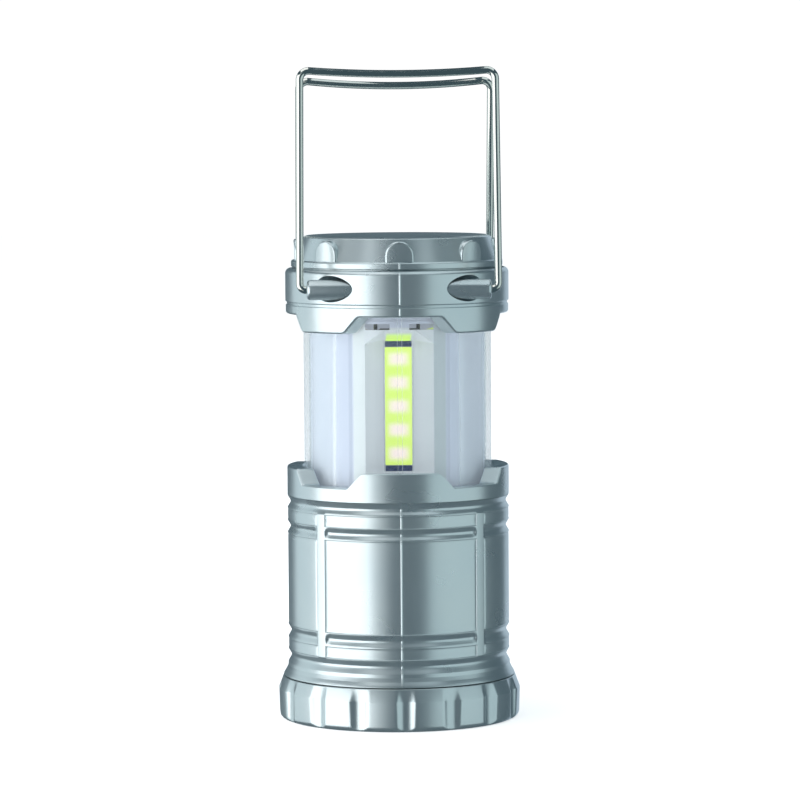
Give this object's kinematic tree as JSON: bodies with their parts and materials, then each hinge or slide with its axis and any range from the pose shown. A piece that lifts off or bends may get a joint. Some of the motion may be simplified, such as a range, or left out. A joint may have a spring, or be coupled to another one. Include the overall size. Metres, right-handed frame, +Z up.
{
  "type": "camping lantern",
  "caption": "Pull-up camping lantern with a fluted twist-off base, grooved silver body, clear lens tube over light strips, lugged cap and folding wire bails.",
  "frame": {"origin": "centre of the base, on the surface it stands on", "axes": "+Z up along the lantern, -Y towards the front light strip, +X along the bails' pins"},
  "size_m": [0.0902, 0.0902, 0.2423],
  "materials": {
    "silver_paint": "satin silver paint",
    "soft_rubber": "matt",
    "dark_plastic": "moulded",
    "cell_jacket": "printed jacket without marks",
    "nickel_steel": "nickel plated",
    "zinc_steel": "zinc plated",
    "brass": "bright",
    "clear_plastic": "clear, polished",
    "metallised_plastic": "satin vacuum metallised",
    "board_aluminium": "white mask",
    "phosphor": "silicone over chips, lit",
    "clip_plastic": "dark navy",
    "circuit_board": "green mask",
    "lead_jacket": "red jacket",
    "polished_wire": "polished steel"
  },
  "bodies": {
    "base": {"body_shell": "silver_paint", "crown_ring": "silver_paint", "tube_seal": "soft_rubber", "battery_holder": "dark_plastic", "aa_cells": "cell_jacket", "upper_contacts": "nickel_steel", "post_contacts": "brass", "holder_screws": "zinc_steel", "cover_seal": "soft_rubber"},
    "cover": {"battery_cover": "silver_paint", "cover_contacts": "nickel_steel", "cell_springs": "nickel_steel"},
    "head": {"collar": "silver_paint", "top_cap": "silver_paint", "lens_tube": "clear_plastic", "tube_gasket": "soft_rubber", "reflector": "metallised_plastic", "cob_boards": "board_aluminium", "cob_phosphor": "phosphor", "strip_clips": "clip_plastic", "driver_board": "circuit_board", "driver_parts": "dark_plastic", "head_screws": "zinc_steel", "contact_wipers": "brass", "strip_leads": "lead_jacket"},
    "front_bail": {"front_bail": "polished_wire"},
    "rear_bail": {"rear_bail": "polished_wire"}
  },
  "joints": [
    {"name": "head_slide", "type": "slide", "parent": "base", "child": "head", "axis": [0, 0, 1], "range_m": [-0.056, 0]},
    {"name": "cover_twist", "type": "hinge", "parent": "base", "child": "cover", "pos_m": [0, 0, 0], "axis": [0, 0, 1], "range_deg": [0, 30]},
    {"name": "front_bail_fold", "type": "hinge", "parent": "head", "child": "front_bail", "pos_m": [0, -0.0337, 0.1613], "axis": [1, 0, 0], "range_deg": [-17.5, 177]},
    {"name": "rear_bail_fold", "type": "hinge", "parent": "head", "child": "rear_bail", "pos_m": [0, 0.0337, 0.1613], "axis": [-1, 0, 0], "range_deg": [-3, 190]}
  ]
}
